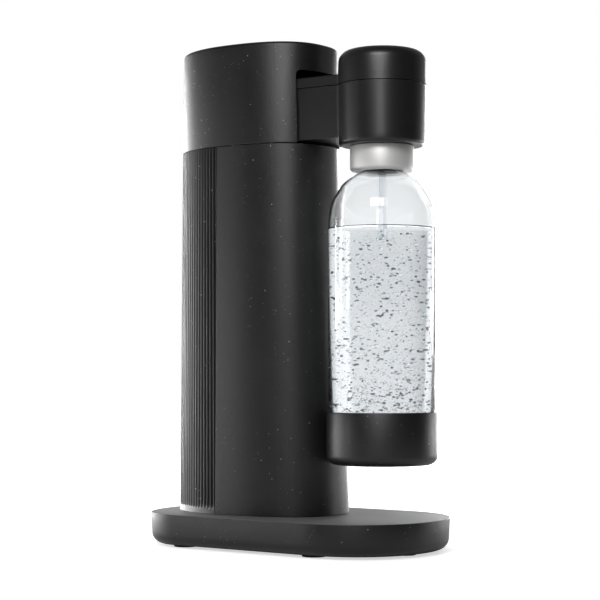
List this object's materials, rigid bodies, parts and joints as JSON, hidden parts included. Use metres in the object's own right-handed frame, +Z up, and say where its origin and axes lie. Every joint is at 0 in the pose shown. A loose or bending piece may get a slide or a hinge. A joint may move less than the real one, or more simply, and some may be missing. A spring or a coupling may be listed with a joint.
{
  "type": "soda carbonator",
  "caption": "Free-standing soda carbonator: oval tower on a long base, tilting arm with carbonating head and push button, clear bottle with a black cup.",
  "frame": {"origin": "middle of the base's footprint, on the plane that the feet stand on", "axes": "+Z up, the bottle and the front face -Y, +X to the right seen from the front"},
  "size_m": [0.154, 0.265, 0.4223],
  "materials": {
    "composite": "fine-grained matt black moulding with sparse pale specks",
    "black_plastic": "satin black",
    "grey_plastic": "satin grey",
    "rubber": "matt black",
    "silver": "satin silver plating",
    "steel": "satin",
    "zinc_sheet": "zinc plated sheet",
    "brass": "satin",
    "clear_bottle": "clear, glossy",
    "hose": "pale, translucent"
  },
  "bodies": {
    "stand": {"base_shell": "composite", "base_bottom": "black_plastic", "foot_front": "rubber", "foot_middle_left": "rubber", "foot_rear_left": "rubber", "foot_middle_right": "rubber", "foot_rear_right": "rubber", "tower_shell": "composite", "hood": "composite", "inner_frame": "zinc_sheet", "tilt_bracket": "black_plastic", "tilt_axle": "steel", "cylinder_cup": "rubber", "cylinder_seal": "rubber", "valve_block": "grey_plastic", "block_fitting": "brass", "gas_hose": "hose", "floor_screw_1": "steel", "floor_screw_2": "steel", "floor_screw_3": "steel", "floor_screw_4": "steel", "frame_screw_1": "steel", "frame_screw_2": "steel", "frame_screw_3": "steel", "frame_screw_4": "steel", "hood_screw_1": "steel", "hood_screw_2": "steel", "block_screw_1": "steel", "block_screw_2": "steel", "bracket_screw_1": "steel", "bracket_screw_2": "steel"},
    "cylinder": {"gas_cylinder": "steel", "cylinder_valve": "brass"},
    "cover": {"rear_cover": "composite"},
    "head": {"head_housing": "composite", "tilt_bush_left": "grey_plastic", "tilt_bush_right": "grey_plastic", "head_fitting": "brass", "lever_pin": "steel", "bottle_collar": "silver", "collar_nut": "black_plastic", "nozzle_holder": "grey_plastic", "nozzle_tube": "grey_plastic", "bottle_gasket": "rubber", "head_valve": "brass", "stem_spring": "steel", "relief_body": "brass", "relief_spring": "steel", "holder_screw_1": "steel", "holder_screw_2": "steel", "holder_screw_3": "steel"},
    "button": {"button_lever": "black_plastic", "button_pad": "rubber"},
    "stem": {"valve_stem": "steel"},
    "relief": {"relief_poppet": "steel"},
    "bottle": {"bottle": "clear_bottle", "bottle_cup": "composite"}
  },
  "joints": [
    {"name": "head_tilt", "type": "hinge", "parent": "stand", "child": "head", "pos_m": [0, -0.008, 0.35], "axis": [-1, 0, 0], "range_deg": [0, 10], "deforming": ["gas_hose"]},
    {"name": "button_press", "type": "hinge", "parent": "head", "child": "button", "pos_m": [0, -0.0031, 0.3825], "axis": [1, 0, 0], "range_deg": [0, 1.12], "stiffness_Nm_per_rad": 20, "springref_deg": -1.15},
    {"name": "stem_press", "type": "slide", "parent": "head", "child": "stem", "axis": [0, 0, -1], "range_m": [0, 0.00158], "deforming": ["stem_spring"]},
    {"name": "relief_lift", "type": "slide", "parent": "head", "child": "relief", "axis": [0, 0, 1], "range_m": [0, 0.0015], "stiffness_N_per_m": 800, "springref_m": -0.002, "deforming": ["relief_spring"]},
    {"name": "bottle_remove", "type": "slide", "parent": "head", "child": "bottle", "axis": [0, 0, -1], "range_m": [0, 0.03]},
    {"name": "cover_off", "type": "slide", "parent": "stand", "child": "cover", "axis": [0, 1, 0], "range_m": [0, 0.06]},
    {"name": "cylinder_unscrew", "type": "hinge", "parent": "stand", "child": "cylinder", "pos_m": [0, 0.058, 0.34], "axis": [0, 0, 1], "range_deg": [0, 360]}
  ],
  "couplings": [
    {"joint": "stem_press", "follows": "button_press", "m_per_rad": 0.0805}
  ]
}
